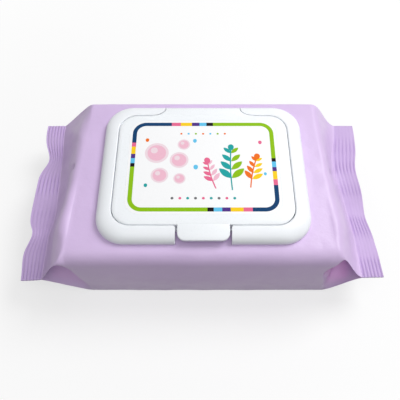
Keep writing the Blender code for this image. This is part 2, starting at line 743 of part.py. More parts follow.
def wipe_tuft():
    """The next wipe's folded edge, standing up through the opening."""
    low = PACK_HEIGHT - FILM - STACK_CLEARANCE + GAP
    rings = []
    for share in spread(0.0, 1.0, TUFT_STEPS):
        swell = math.sin(math.pi * mix(0.08, 0.92, share)) ** 0.5
        height = TUFT_HEIGHT * swell * (1.0 + 0.1 * math.sin(9.0 * share))
        sway = 0.9 * MM * math.sin(7.0 * share)
        half = TUFT_WIDTH / 2 * mix(0.75, 1.0, swell)
        x = CAP_X + TUFT_LENGTH * (share - 0.5)
        profile = [(1.0, 0.0), (0.62, 0.28), (0.34, 0.72), (0.16, 1.0)]
        right = [(half * y + sway * z, height * z) for y, z in profile]
        left = [(-half * y + sway * z, height * z) for y, z in reversed(profile)]
        rings.append([Vector((x, CAP_Y + y, low + z)) for y, z in right + left])
    return object_from("wipe_tuft", loft(rings), WIPES_LOOK, PARTS)


def clear_scene():
    for old in list(bpy.data.objects):
        bpy.data.objects.remove(old, do_unlink=True)


clear_scene()
PARTS = collection("wet_wipes_pack")
CUTTERS = collection("cutters")
FILM_LOOK = material("film", (0.66, 0.53, 0.76), 0.32)
PLASTIC_LOOK = material("cap_plastic", (0.86, 0.88, 0.90), 0.35)
LABEL_LOOK = material("label_paper", (0.90, 0.90, 0.91), 0.45)
ADHESIVE_LOOK = material("adhesive", (0.78, 0.75, 0.66), 0.5)
WIPES_LOOK = material("wipes", (0.88, 0.88, 0.88), 0.9)

# The hinge axis lies in the gap between the hinge wall and the end of the lid's land
HINGE = Vector((
    CAP_X,
    CAP_REAR - (HINGE_WALL + LAND_END) / 2,
    arch_level(LAND_END) - 0.2 * MM,
))

film_pouch()
wipes_stack()
wipe_tuft()
cap_adhesive()
cap_base()
cap_lid()
lid_label()
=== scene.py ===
"""The look of a wet wipes pack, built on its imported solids: crinkled satin film, a moulded cap
with a printed label, and damp wipes under the lid. Metres, in the solids' own frame."""

import math

import bmesh
import bpy
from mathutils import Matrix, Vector, noise

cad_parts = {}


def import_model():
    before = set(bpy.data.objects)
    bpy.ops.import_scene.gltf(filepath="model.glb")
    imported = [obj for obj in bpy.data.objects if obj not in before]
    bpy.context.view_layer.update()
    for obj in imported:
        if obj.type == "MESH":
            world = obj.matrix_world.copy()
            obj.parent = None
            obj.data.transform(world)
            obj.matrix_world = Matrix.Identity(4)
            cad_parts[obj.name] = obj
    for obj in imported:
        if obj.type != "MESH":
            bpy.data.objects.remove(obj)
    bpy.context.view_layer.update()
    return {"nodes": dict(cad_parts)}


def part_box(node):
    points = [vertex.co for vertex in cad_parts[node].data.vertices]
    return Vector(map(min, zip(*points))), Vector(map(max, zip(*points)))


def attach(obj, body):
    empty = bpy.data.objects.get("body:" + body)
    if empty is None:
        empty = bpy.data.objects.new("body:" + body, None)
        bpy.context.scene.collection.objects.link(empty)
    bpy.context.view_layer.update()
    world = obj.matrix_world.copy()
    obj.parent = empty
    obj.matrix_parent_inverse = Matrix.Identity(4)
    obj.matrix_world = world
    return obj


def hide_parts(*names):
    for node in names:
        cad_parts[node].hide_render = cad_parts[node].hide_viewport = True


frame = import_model()

MM = 0.001


def mm(*values):
    return tuple(value * MM for value in values)


# What the solids give
POUCH_LOW, POUCH_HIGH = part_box("film_pouch")
BASE_LOW, BASE_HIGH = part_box("cap_base")
LABEL_LOW, LABEL_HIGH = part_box("lid_label")
STACK_LOW, STACK_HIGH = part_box("wipes_stack")
TUFT_LOW, TUFT_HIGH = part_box("wipe_tuft")

# Pouch, as in its solid. Values for -1 are the left end's, and those for 1 the right end's.
PACK_DEPTH = POUCH_HIGH.y - POUCH_LOW.y
PACK_HEIGHT = POUCH_HIGH.z - POUCH_LOW.z
FRONT_CORNER, BOTTOM_CORNER, FRONT_BULGE = mm(8.0, 1.6, 0.9)
SHOULDERS = {-1: mm(62.7, 68.0, 59.5), 1: mm(64.8, 68.0, 67.8)}  # at the rear, front, underside
FOLD_ANGLE = {-1: 22.0, 1: 48.0}  # where the gusset's crease sits on the top corner
GUSSET_TUCK = 20.0 * MM
SEAL_HEIGHT = 0.5 * PACK_HEIGHT
SEAL_INNER, SEAL_WIDTH, SEAL_THICKNESS = mm(85.6, 11.0, 1.0)
SEAL_RIBS = 6
WAISTS = {-1: mm(-6.0, 32.0, 3.4), 1: mm(18.0, 24.0, 5.4)}  # place along Y, width, depth
# Buckles of the seals: place along Y, width, how far the edge draws in, how far it lifts
KINKS = {
    -1: (
        mm(26.0, 9.0, 3.8, -1.6),
        mm(-26.5, 7.0, 4.6, 2.4),
        mm(3.0, 12.0, 1.2, 1.2),
        mm(-52.0, 12.0, 0.0, -2.7),
    ),
    1: (
        mm(15.0, 15.0, 4.4, 2.0),
        mm(-12.0, 13.0, 2.0, -1.4),
        mm(-52.0, 12.0, 0.0, 1.1),
    ),
}
FIN_WIDTH, FIN_THICKNESS = mm(12.0, 0.5)
CHANNEL_DEPTH, CHANNEL_MARGIN = mm(0.7, 1.5)

# Pouch, finer than its solid
REAR_CORNER = 1.4 * MM
RIB_RISE = 0.45 * MM
RIB_PRESS = (0.1, 0.8)  # how hard the jaws press, in the seal's weak and strong patches
SEAL_COLOUR_AND_VALLEY_SHADE = (0.42, 0.9)  # share of the sealed film's darker colour on the ribs, and more between them as painted shade in the valleys
GUSSET_BOUNCE_PAINT = {-1: 0.35, 1: 1.0}  # share of painted bounce light that makes the film brighter and deeper in colour in there
CREASE_DRAW = {-1: 0.0, 1: 3.2 * MM}  # how far the end panel's front corner is drawn in
CREASE_DEPTH = 0.3 * MM
# Course of an end panel from the shoulder to the seal, as shares of its length
SHOULDER_ROUND = {-1: 0.5, 1: 0.45}
SHOULDER_HOLLOW = 0.35
EDGE_START = 0.1  # the taut front and rear edges start down at once
EDGE_HOLLOW = {-1: 0.1, 1: 0.6}
# The panel's taut edges: distance from the pack's middle, and how much the front one gives
TAUT_FROM, TAUT_OVER = mm(29.0, 19.0)
FRONT_SLACK = {-1: 0.3, 1: 0.15}
# Hollow of the right shoulder at the front: depth, where it starts along Y, run to its full
# depth; level and spread as shares of the height
HOLLOW, HOLLOW_FROM, HOLLOW_OVER = mm(4.2, 40.0, 9.0)
HOLLOW_LEVEL, HOLLOW_SPREAD = 0.66, 0.24
# Three-cornered dents of the end panels: their corner on the pack's side and the middle of their
# side on the seal, each as (distance along X, Y), half of that side, depth
DENTS = {
    -1: (
        (mm(70.5, 7.0), mm(84.0, 5.0), 13.0 * MM, 3.0 * MM),
        (mm(76.0, -25.0), mm(85.0, -29.0), 6.0 * MM, 0.8 * MM),
    ),
    1: ((mm(73.0, 6.0), mm(84.0, 14.0), 9.0 * MM, 1.7 * MM),),
}
DENT_EDGE = 1.7 * MM
# Swells of the end panels towards the front: place along Y, width, height
PANEL_SWELLS = {-1: mm(-23.0, 18.0, 2.6), 1: mm(-26.0, 16.0, 1.2)}
PANEL_LEVEL = 7.0 * MM  # height above the seal at which dents and swells are whole
# Swells of the long faces: height, level, spread and reach from the pack's middle
FRONT_SWELL, REAR_SWELL = mm(1.0, 0.4)
SWELL_LEVEL, SWELL_SPREAD, SWELL_REACH = mm(17.0, 13.0, 62.0)
# Pleats and waves of the film: size, and depth, for a wave on the body and on the end panels
PLEAT_SIZE, PLEAT_WANDER, PLEAT_DEPTH = mm(3.2, 9.0, 0.9)
BROAD_WAVE, BROAD_DEPTH = 22.0 * MM, mm(0.35, 0.55)
SMALL_WAVE, SMALL_DEPTH = 7.0 * MM, mm(0.05, 0.22)
REAR_WAVE, REAR_DEPTH = 17.0 * MM, 1.4 * MM
SEAL_WAVE, SEAL_WAVE_DEPTH = 11.0 * MM, 0.7 * MM
PRESS_PATCH = 13.0 * MM
LONG_FACE = 46.0 * MM  # distance along Y beyond which a point is on a long face
HOLE_TURN = 0.25 * MM  # how far the cut edge turns down

# Cap, as in the solids
CAP_LENGTH = BASE_HIGH.x - BASE_LOW.x
CAP_DEPTH = BASE_HIGH.y - BASE_LOW.y
CAP_X = (BASE_LOW.x + BASE_HIGH.x) / 2
CAP_Y = (BASE_LOW.y + BASE_HIGH.y) / 2
FOOT = BASE_LOW.z
PARTING = BASE_HIGH.z
LID_TOP = LABEL_HIGH.z
CAP_CORNER, LID_CORNER = mm(15.0, 10.0)
RING_WIDTH, FLANGE, PARTING_GAP = mm(8.3, 1.0, 0.4)
FLOOR_BOTTOM = FOOT + 0.7 * MM
FLOOR_TOP = FLOOR_BOTTOM + 1.2 * MM
LIP_TOP = FLOOR_TOP + 1.8 * MM
LID_ROUND, LID_EDGE_DROP = mm(2.4, 0.4)
LIP_THICKNESS = 1.1 * MM
LID_UNDER = PARTING - 1.1 * MM
SKIRT_BOTTOM = FLOOR_TOP + 0.8 * MM
SKIRT_WALL, SEAL_RIB = mm(1.1, 1.0)
OPENING_LENGTH, OPENING_DEPTH, OPENING_CORNER = mm(64.0, 34.0, 13.0)
FILM_EDGE = 3.0 * MM  # how far the film stands in from the opening's edge
BEVEL = 0.3 * MM
NOTCH_ROUND = 1.4 * MM
ABOVE = PARTING + 6.0 * MM  # level that clears the cap
TAB_WIDTH, TAB_CORNER, TAB_THICKNESS = mm(26.2, 3.6, 1.4)
TAB_DROP, TAB_SHORT = mm(1.3, 0.6)
NOTCH_WIDTH = TAB_WIDTH + 2.0 * MM
LAND_WIDTH, LAND_FLARE, LAND_FLARE_DEPTH = mm(42.4, 7.4, 5.0)
HINGE_WALL = 0.55 * MM
LAND_END = HINGE_WALL + PARTING_GAP - 0.05 * MM
LABEL_CORNER = 8.0 * MM
LABEL_Y = (LABEL_LOW.y + LABEL_HIGH.y) / 2
POCKET_INSET = RING_WIDTH - PARTING_GAP / 2
LID_INSET = RING_WIDTH + PARTING_GAP / 2
ARCH_WIDTH = POCKET_INSET - 0.8 * MM
CAP_FRONT = CAP_Y - CAP_DEPTH / 2
CAP_REAR = CAP_Y + CAP_DEPTH / 2
LAND_START = CAP_REAR - RING_WIDTH
LAND_STRAIGHT = LAND_START + LAND_FLARE_DEPTH

# Wipes
STACK_EDGE, STACK_FOLD, STACK_RIPPLE = mm(7.6, 0.45, 0.35)
TUFT_CLOTH = 0.35 * MM

# Fineness of the visible surfaces
TOP_POINTS, CORNER_POINTS, WALL_POINTS = 71, 9, 9
PANEL_STEPS, RIB_STEPS, BODY_STEPS = 44, 6, 72
STACK_CELLS = (90, 70)
TUFT_STEPS, TUFT_ARC_STEPS = 110, 16
CORNER_STEPS, EDGE_STEPS, ARCH_STEPS, LAND_STEPS = 24, 4, 16, 20
LID_ROUND_STEPS, TAB_STEPS = 8, 12
OUTLINE_STEPS, LEAF_STEPS = 40, 16
# Places in a film ring of the points between a corner and a gusset's fold
SIDE_TOP = WALL_POINTS + CORNER_POINTS
SIDE_LOW = SIDE_TOP - 1
FRONT_FOLD = 2 * SIDE_TOP + TOP_POINTS
RING_END = FRONT_FOLD + 2 * SIDE_LOW + TOP_POINTS
WALL_PLACES = {
    *range(WALL_POINTS),
    *range(FRONT_FOLD - WALL_POINTS, FRONT_FOLD + WALL_POINTS - 1),
    *range(RING_END - WALL_POINTS + 1, RING_END),
}

# Camera of the photograph
CAMERA_PLACE = mm(-0.12, -124.04, 249.61)
CAMERA_ELEVATION = 62.0
FOCAL_SHARE = 443.86 / 400.0  # focal length over the image's width
SENSOR_WIDTH = 36.0

# Light: place, size across and power
LIGHTS = {
    "key": ((0.42, 0.30, 0.64), 0.42, 4.3),
    "front": ((0.08, -0.30, 0.85), 0.8, 2.4),
}
LIGHT_TARGET = (0.0, 0.0, 0.03)
WORLD_LIGHT = 0.31


def mix(a, b, share):
    return a + (b - a) * share


def smooth(share):
    share = min(1.0, max(0.0, share))
    return share * share * (3.0 - 2.0 * share)


def bump(place, middle, width):
    return math.exp(-(((place - middle) / width) ** 2))


def spread(first, last, steps):
    return [mix(first, last, k / steps) for k in range(steps + 1)]


def waver(*place):
    return noise.noise(Vector(place))


# Nodes for materials


class Shader:
    """A Principled material and short ways to wire nodes into it."""

    def __init__(self, name, roughness, specular, **values):
        self.material = bpy.data.materials.new(name)
        self.material.use_nodes = True
        self.nodes = self.material.node_tree.nodes
        self.links = self.material.node_tree.links
        self.main = self.nodes["Principled BSDF"]
        self.main.inputs["Roughness"].default_value = roughness
        self.main.inputs["Specular IOR Level"].default_value = specular
        for key, value in values.items():
            self.main.inputs[f"{key.title()} Weight"].default_value = value

    def add(self, kind, inputs=None, **values):
        node = self.nodes.new(kind)
        for key, value in values.items():
            setattr(node, key, value)
        for key, value in (inputs or {}).items():
            node.inputs[key].default_value = value
        return node

    def link(self, start, end):
        self.links.new(start, end)

    def place(self, scale=(1.0, 1.0, 1.0), turn=(0.0, 0.0, 0.0)):
        """Object coordinates in millimetres, stretched and turned."""
        coordinates = self.add("ShaderNodeTexCoord")
        per_mm = tuple(s / MM for s in scale)
        mapping = self.add("ShaderNodeMapping", {"Scale": per_mm, "Rotation": turn})
        self.link(coordinates.outputs["Object"], mapping.inputs["Vector"])
        return mapping.outputs["Vector"]

    def noise(self, scale, detail, roughness, *stretch_and_turn):
        inputs = {"Scale": scale, "Detail": detail, "Roughness": roughness}
        node = self.add("ShaderNodeTexNoise", inputs)
        self.link(self.place(*stretch_and_turn), node.inputs["Vector"])
        return node.outputs["Fac"]

    def tones(self, source, dark, light, low=0.3, high=0.7):
        """A colour that goes from dark, where the source is low, to light, where it is high."""
        node = self.add("ShaderNodeValToRGB")
        for element, place, colour in zip(node.color_ramp.elements, (low, high), (dark, light)):
            element.position = place
            element.color = (*colour, 1.0)
        self.link(source, node.inputs["Fac"])
        return node.outputs["Color"]

    def blend(self, share, first, second):
        node = self.add("ShaderNodeMix", data_type="RGBA")
        self.link(share, node.inputs["Factor"])
        self.link(first, node.inputs["A"])
        self.link(second, node.inputs["B"])
        return node.outputs["Result"]

    def away(self, axis, start, end):
        """0 nearer than start to the middle along an axis, 1 beyond end."""
        split = self.add("ShaderNodeSeparateXYZ")
        self.link(self.place(), split.inputs[0])
        size = self.add("ShaderNodeMath", operation="ABSOLUTE")
        self.link(split.outputs[axis], size.inputs[0])
        return self.span(size.outputs["Value"], 0.0, 1.0, start / MM, end / MM)

    def span(self, source, low, high, start=0.0, end=1.0):
        """From low, where the source is start, to high, where it is end."""
        inputs = {"From Min": start, "From Max": end, "To Min": low, "To Max": high}
        node = self.add("ShaderNodeMapRange", inputs)
        self.link(source, node.inputs["Value"])
        return node.outputs["Result"]

    def sum(self, a, b, share):
        """a, and a share of b."""
        node = self.add("ShaderNodeMath", {1: share}, operation="MULTIPLY_ADD")
        self.link(b, node.inputs[0])
        self.link(a, node.inputs[2])
        return node.outputs["Value"]

    def colour(self, output):
        self.link(output, self.main.inputs["Base Color"])

    def rough(self, output):
        self.link(output, self.main.inputs["Roughness"])

    def relief(self, height, distance, strength):
        node = self.add("ShaderNodeBump", {"Distance": distance, "Strength": strength})
        self.link(height, node.inputs["Height"])
        self.link(node.outputs["Normal"], self.main.inputs["Normal"])


def film_material():
    """Satin lilac laminate: faint handling marks, fine crinkles, slightly uneven print. It is
    darker in its own colour where it is sealed, with painted shade between the seal's ribs, and
    painted bounce light makes it brighter and deeper in colour inside the gussets."""
    shader = Shader("film_laminate", 0.4, 0.32, coat=0.06)
    shader.main.inputs["Coat Roughness"].default_value = 0.25
    cloud = shader.noise(0.035, 2.0, 0.5)
    film = shader.tones(cloud, (0.62, 0.475, 0.73), (0.65, 0.50, 0.76))
    # The sealed film's own darker colour, laid on more deeply between the ribs as painted shade.
    crimp = shader.add("ShaderNodeAttribute", attribute_name="crimp")
    sealed = shader.tones(cloud, (0.38, 0.26, 0.53), (0.41, 0.285, 0.56))
    film = shader.blend(crimp.outputs["Fac"], film, sealed)
    # Painted bounce light inside the gussets: the film brighter and deeper in colour there.
    fold = shader.add("ShaderNodeAttribute", attribute_name="fold")
    tucked = shader.tones(cloud, (0.79, 0.475, 0.82), (0.83, 0.505, 0.86))
    shader.colour(shader.blend(fold.outputs["Fac"], film, tucked))
    crinkle = shader.noise(0.16, 4.0, 0.55)
    fine = shader.noise(1.1, 2.0, 0.5)
    crimped = shader.away("X", SEAL_INNER - 5.0 * MM, SEAL_INNER + 1.0 * MM)
    satin = shader.span(crinkle, 0.33, 0.45, 0.3, 0.7)
    shader.rough(shader.sum(satin, crimped, 0.3))
    shader.relief(shader.sum(crinkle, fine, 0.08), 0.35 * MM, 0.55)
    return shader.material


def plastic_material(name, colour, roughness):
    """Injection-moulded polypropylene: fine moulded grain and faint flow shading."""
    shader = Shader(name, roughness, 0.5)
    flow = shader.noise(0.03, 2.0, 0.5)
    low = tuple(0.975 * c for c in colour)
    shader.colour(shader.tones(flow, low, colour))
    grain = shader.noise(1.3, 2.0, 0.6)
    shader.rough(shader.span(grain, roughness - 0.05, roughness + 0.08, 0.3, 0.7))
    shader.relief(grain, 0.01 * MM, 0.15)
    return shader.material


def patterned(name, pattern, tones, relief, *gloss, **values):
    """A material whose colour and relief follow one noise."""
    shader = Shader(name, *gloss, **values)
    source = shader.noise(*pattern)
    shader.colour(shader.tones(source, *tones))
    shader.relief(source, *relief)
    return shader.material


def ink_material(name, colour):
    """Printed ink with a faint screen of dots."""
    tones = tuple(0.93 * c for c in colour), colour, 0.35, 0.65
    return patterned(name, (4.0, 1.0, 0.5), tones, (0.01 * MM, 0.3), 0.6, 0.05)


def label_material():
    """Coated white label stock."""
    pattern, relief = (1.5, 3.0, 0.6, (1.0, 0.5, 1.0)), (0.015 * MM, 0.3)
    tones = (0.885, 0.89, 0.9), (0.905, 0.91, 0.92)
    return patterned("label_stock", pattern, tones, relief, 0.4, 0.45, coat=0.1)


def wipes_material():
    """Damp spunlace cloth: embossed dots and loose fibres."""
    shader = Shader("spunlace", 0.62, 0.4, sheen=0.15)
    dots = shader.add("ShaderNodeTexVoronoi", {"Scale": 0.55, "Randomness": 0.25}, feature="F1")
    shader.link(shader.place(), dots.inputs["Vector"])
    fibres = shader.noise(2.2, 4.0, 0.7, (1.0, 0.25, 1.0), (0.0, 0.0, 0.5))
    shader.colour(shader.tones(fibres, (0.80, 0.82, 0.83), (0.88, 0.89, 0.9)))
    shader.relief(shader.sum(dots.outputs["Distance"], fibres, 0.35), 0.22 * MM, 0.6)
    return shader.material


def adhesive_material():
    """Cloudy hot melt."""
    tones = (0.70, 0.66, 0.55), (0.78, 0.75, 0.64)
    pattern, relief = (0.3, 3.0, 0.5), (0.1 * MM, 0.4)
    return patterned("hot_melt", pattern, tones, relief, 0.35, 0.5, subsurface=0.1)


# Building pieces

SHARP = 32.0  # angle in degrees from which an edge is shown sharp


def loft(rings, closed=False, paired=False):
    """Rings of equally many points, skinned in order. A closed loft runs back to its first ring,
    and an open one has its ends filled by one face each, or by pairs of points."""
    bm = bmesh.new()
    rows = [[bm.verts.new(point) for point in ring] for ring in rings]
    count = len(rows[0])
    spans = list(zip(rows, rows[1:]))
    if closed:
        spans.append((rows[-1], rows[0]))
    for low, high in spans:
        for i in range(count):
            j = (i + 1) % count
            bm.faces.new((low[i], low[j], high[j], high[i]))
    if not closed:
        for row in (rows[0], rows[-1]):
            if paired:
                close_by_pairs(bm, row)
            else:
                bm.faces.new(row)
    return bm


def close_by_pairs(bm, row):
    """Closes a ring whose point k lies across from point n - k."""
    count = len(row)
    half = count // 2
    bm.faces.new((row[0], row[1], row[count - 1]))
    for k in range(1, half - 1):
        bm.faces.new((row[k], row[k + 1], row[count - k - 1], row[count - k]))
    bm.faces.new((row[half - 1], row[half], row[half + 1]))


def put(name, data):
    made = bpy.data.objects.new(name, data)
    bpy.context.scene.collection.objects.link(made)
    return made


def mesh_of(name, bm, material):
    mesh = bpy.data.meshes.new(name)
    bm.to_mesh(mesh)
    bm.free()
    mesh.materials.append(material)
    return mesh


def shade(mesh, sharp=SHARP):
    mesh.shade_smooth()
    mesh.set_sharp_from_angle(angle=math.radians(sharp))


def piece(name, bm, material, sharp=SHARP):
    """A shaded object of a bmesh in world coordinates."""
    bmesh.ops.recalc_face_normals(bm, faces=bm.faces)
    mesh = mesh_of(name, bm, material)
    shade(mesh, sharp)
    return put(name, mesh)


def block(size, centre):
    bm = bmesh.new()
    bmesh.ops.create_cube(bm, size=1.0)
    bmesh.ops.scale(bm, verts=bm.verts, vec=size)
    bmesh.ops.translate(bm, verts=bm.verts, vec=centre)
    return bm


def combine(target, operation, *tools):
    """Boolean cuts or joins of a piece, applied."""
    guides = [piece("guide", bm, target.data.materials[0]) for bm in tools]
    for guide in guides:
        cut = target.modifiers.new("cut", "BOOLEAN")
        cut.operation, cut.solver, cut.object = operation, "EXACT", guide
    bpy.context.view_layer.update()
    graph = bpy.context.evaluated_depsgraph_get()
    made = bpy.data.meshes.new_from_object(target.evaluated_get(graph))
    target.modifiers.clear()
    target.data = made
    for guide in guides:
        bpy.data.objects.remove(guide)
    shade(made)


# The pouch


def seal_pull(side, y):
    return sum(pull * bump(y, *place) for *place, pull, _ in KINKS[side])


def seal_lift(side, y):
    return sum(lift * bump(y, *place) for *place, _, lift in KINKS[side])


def shoulder(side, y, height):
    """Where an end panel starts, at a share of the pack's height."""
    rear, front, bottom = SHOULDERS[side]
    x = mix(bottom, mix(front, rear, 0.5 + y / PACK_DEPTH), height)
    if side > 0:
        level = bump(height, HOLLOW_LEVEL, HOLLOW_SPREAD)
        x -= HOLLOW * level * smooth((-y - HOLLOW_FROM) / HOLLOW_OVER)
    return x


def film_side(drop, tuck, angle, corner, bulge=0.0, draw=0.0):
    """One side of a film section as (distance from the middle, z) points: up from the gusset's
    fold over the top corner, and down from it round the bottom corner."""
    half = PACK_DEPTH / 2
    thin = SEAL_THICKNESS / 2
    sharpening = (1.0 - drop) ** 12
    fold = (half - tuck, SEAL_HEIGHT)
    start = mix(angle, 0.0, sharpening)

    def arc(level, radius, direction):
        turns = [math.radians(turn) for turn in spread(start, 90.0, CORNER_POINTS - 1)]
        middle = half - radius
        if direction > 0:
            middle -= mix(bulge, 0.0, drop) + draw * (1.0 - drop) * (1.0 - sharpening)
        return [
            (middle + radius * math.cos(a), level - direction * radius * (1.0 - math.sin(a)))
            for a in turns
        ]

    def wall(end):
        shares = [k / WALL_POINTS for k in range(1, WALL_POINTS)]
        power = 0.9 if tuck else 2.0
        return [(mix(fold[0], end[0], s**power), mix(fold[1], end[1], s)) for s in shares]

    above = arc(mix(PACK_HEIGHT, SEAL_HEIGHT + thin, drop), mix(thin * 0.6, corner, sharpening), 1)
    below = arc(mix(0.0, SEAL_HEIGHT - thin, drop), mix(thin * 0.6, BOTTOM_CORNER, sharpening), -1)
    return [fold, *wall(above[0]), *above], [*wall(below[0]), *below]


def film_section(side, drop, tuck, channel):
    """One film section as (y, z) points, from the rear fold over the top and back underneath."""
    angle, draw = FOLD_ANGLE[side], CREASE_DRAW[side]
    rear_top, rear_low = film_side(drop, tuck, angle, REAR_CORNER)
    front_top, front_low = film_side(drop, tuck, angle, FRONT_CORNER, FRONT_BULGE, draw)
    shares = [k / (TOP_POINTS + 1) for k in range(1, TOP_POINTS + 1)]
    crown = [(mix(rear_top[-1][0], -front_top[-1][0], s), rear_top[-1][1]) for s in shares]
    bottom = rear_low[-1][1]
    sole = []
    for share, (place, _) in zip(shares, reversed(crown)):
        y = mix(-front_low[-1][0], rear_low[-1][0], share)
        sole.append((mix(y, place, drop), bottom + fin_rise(y, channel)))
    ring = rear_top + crown + [(-y, z) for y, z in reversed(front_top)]
    return ring + [(-y, z) for y, z in front_low] + sole + rear_low[::-1]


def fin_rise(y, channel):
    """The underside's channel, with the flattened back seal in it."""
    away = abs(y)
    if away > FIN_WIDTH / 2 + CHANNEL_MARGIN:
        return 0.0
    if away > FIN_WIDTH / 2:
        return CHANNEL_DEPTH * channel
    return (CHANNEL_DEPTH - FIN_THICKNESS) * channel


def come_down(share, hollow, start):
    """How far the panel has come down: a rounded start, then a slope with some hollow."""
    run = mix(share, smooth(share), hollow)
    return (math.hypot(run, start) - start) / (math.hypot(1.0, start) - start)


def panel_tuck(share, drop):
    """The side film keeps its height, so it folds in as its edges come together."""
    closing = 1.0 if share < 0.9 else (1.0 - share) / 0.1
    return GUSSET_TUCK * math.sqrt(max(0.0, 1.0 - (1.0 - drop) ** 2)) * closing


def seal_inner(side, y):
    middle, width, pull = WAISTS[side]
    return SEAL_INNER - pull * bump(y, middle, width)


def panel_crease(side, y, share):
    """Creases that run from the seal's kinks up the end panel."""
    fade = math.sin(math.pi * share)
    return CREASE_DEPTH * fade * sum(
        math.copysign(1.0, lift) * bump(y, middle * mix(1.25, 1.0, share), 0.75 * width)
        for middle, width, _, lift in KINKS[side]
    )


def dent(side, x, y):
    """Depth of the panel's dents, which are deepest at their corner on the pack's side."""
    depth = 0.0
    for corner, base, half, deep in DENTS[side]:
        length = base[0] - corner[0]
        run = (abs(x) - corner[0]) / length
        reach = DENT_EDGE + half * max(0.0, run)
        across = abs(y - mix(corner[1], base[1], run)) / reach
        start = smooth(1.0 + run * length / DENT_EDGE)
        depth += deep * start * max(0.0, 1.0 - run) * smooth(1.3 * (1.0 - across))
    return depth


def gathers(side, y, share):
    """Fine pleats that run from the seal a little way up the panel."""
    wander = waver(side * 3.1, y / PLEAT_WANDER, 0.7)
    pleat = waver(y / PLEAT_SIZE + wander, share * 1.3, side * 5.0)
    return PLEAT_DEPTH * pleat * smooth((share - 0.35) / 0.65)


def panel_ring(side, share):
    """A film ring on an end panel, at its share of the way from the shoulder to the seal."""
    soft = come_down(share, SHOULDER_HOLLOW, SHOULDER_ROUND[side])
    taut = come_down(share, EDGE_HOLLOW[side], EDGE_START)
    tuck = panel_tuck(share, taut)
    soft_section = film_section(side, soft, tuck, 1.0 - share)
    taut_section = film_section(side, taut, tuck, 1.0 - share)
    ring = []
    for (soft_y, soft_z), (taut_y, taut_z) in zip(soft_section, taut_section):
        edge = smooth((abs(taut_y) - TAUT_FROM) / TAUT_OVER)
        if taut_y < 0.0:
            edge *= 1.0 - FRONT_SLACK[side]
        y, z = mix(soft_y, taut_y, edge), mix(soft_z, taut_z, edge)
        height = mix(z / PACK_HEIGHT, float(z > SEAL_HEIGHT), smooth(3.0 * share))
        x = mix(shoulder(side, y, height), seal_inner(side, y), share)
        lean = (z - SEAL_HEIGHT) / (PACK_HEIGHT / 2)
        z += panel_crease(side, y, share) * lean + seal_lift(side, y) * share**3
        z += gathers(side, y, share) * lean
        middle, width, swell = PANEL_SWELLS[side]
        swell *= bump(y, middle, width) * math.sin(math.pi * share)
        z += (swell - dent(side, x, y)) * smooth((z - SEAL_HEIGHT) / PANEL_LEVEL)
        ring.append(Vector((side * x, y, z)))
    return ring


def rib_profile(share):
    """Height of the crimp, from 1 on its broad ribs to -1 in its narrow valleys."""
    wave = (1.0 - math.cos(2.0 * math.pi * SEAL_RIBS * share)) / 2
    return 1.0 - 2.0 * wave**3


def rib_press(side, y):
    """How hard the jaws have pressed the ribs here: the seal has weak and strong patches."""
    patch = waver(y / PRESS_PATCH, side, 3.0)
    return mix(*RIB_PRESS, smooth(0.5 + 2.0 * patch))


def seal_ring(side, share):
    """A film ring in the crimped seal: even ribs that the buckling bends."""
    crimp = rib_profile(share)
    ring = []
    for y, z in film_section(side, 1.0, 0.0, 0.0):
        x = mix(seal_inner(side, y), SEAL_INNER + SEAL_WIDTH - seal_pull(side, y), share)
        wave = waver(share * 0.8, y / SEAL_WAVE, side * 7.0)
        press = rib_press(side, y)
        lift = seal_lift(side, y) * mix(1.0, 1.5, share) + SEAL_WAVE_DEPTH * wave * share
        ring.append(Vector((side * x, y, z + press * RIB_RISE / 2 * crimp + lift)))
    return ring


def pouch():
    """The film as one thin skin, finely crinkled, with its cut edge under the cap."""
    ribs = SEAL_RIBS * RIB_STEPS
    shares = [share**1.5 for share in spread(0.0, 1.0, PANEL_STEPS)]
    left, right = (
        [panel_ring(side, share) for share in shares]
        + [seal_ring(side, k / ribs) for k in range(1, ribs + 1)]
        for side in (-1, 1)
    )
    left.reverse()
    body = [
        [a.lerp(b, k / (BODY_STEPS + 1)) for a, b in zip(left[-1], right[0])]
        for k in range(1, BODY_STEPS + 1)
    ]
    rings = left + body + right
    bm = loft(rings, paired=True)
    mark_film(bm, rings)
    bmesh.ops.recalc_face_normals(bm, faces=bm.faces)
    bm.normal_update()
    crinkle(bm)
    cut_hole(bm)
    made = piece("pouch_film", bm, film_material(), 50.0)
    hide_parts("film_pouch")
    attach(made, "pack")


def mark_film(bm, rings):
    """Writes, for the film's material, how deep each point lies between the seal's ribs, where
    painted shade darkens the film, and how far inside a gusset, where painted bounce light makes it
    brighter."""
    seal_colour_and_shade_layer = bm.verts.layers.float.new("crimp")
    folds = bm.verts.layers.float.new("fold")
    ribs = SEAL_RIBS * RIB_STEPS
    vertices = iter(bm.verts)
    for number, ring in enumerate(rings):
        station = max(ribs - number, number - (len(rings) - 1 - ribs), 0)
        valley = (1.0 - rib_profile(station / ribs)) / 2
        tucked = station == 0 and abs(ring[0].x) > 60 * MM
        for place, point in enumerate(ring):
            vertex = next(vertices)
            side = math.copysign(1.0, point.x)
            if station:
                press = rib_press(side, point.y) / RIB_PRESS[1]
                # the sealed colour, with more of it deep between the ribs as painted shade
                vertex[seal_colour_and_shade_layer] = mix(*SEAL_COLOUR_AND_VALLEY_SHADE, valley * press)
            elif tucked and place in WALL_PLACES:
                # painted bounce light, strongest deep inside a gusset
                inside = smooth((PACK_DEPTH / 2 - abs(point.y)) / (5 * MM))
                inside *= smooth((SEAL_INNER - 3 * MM - abs(point.x)) / (4 * MM))
                vertex[folds] = GUSSET_BOUNCE_PAINT[side] * inside


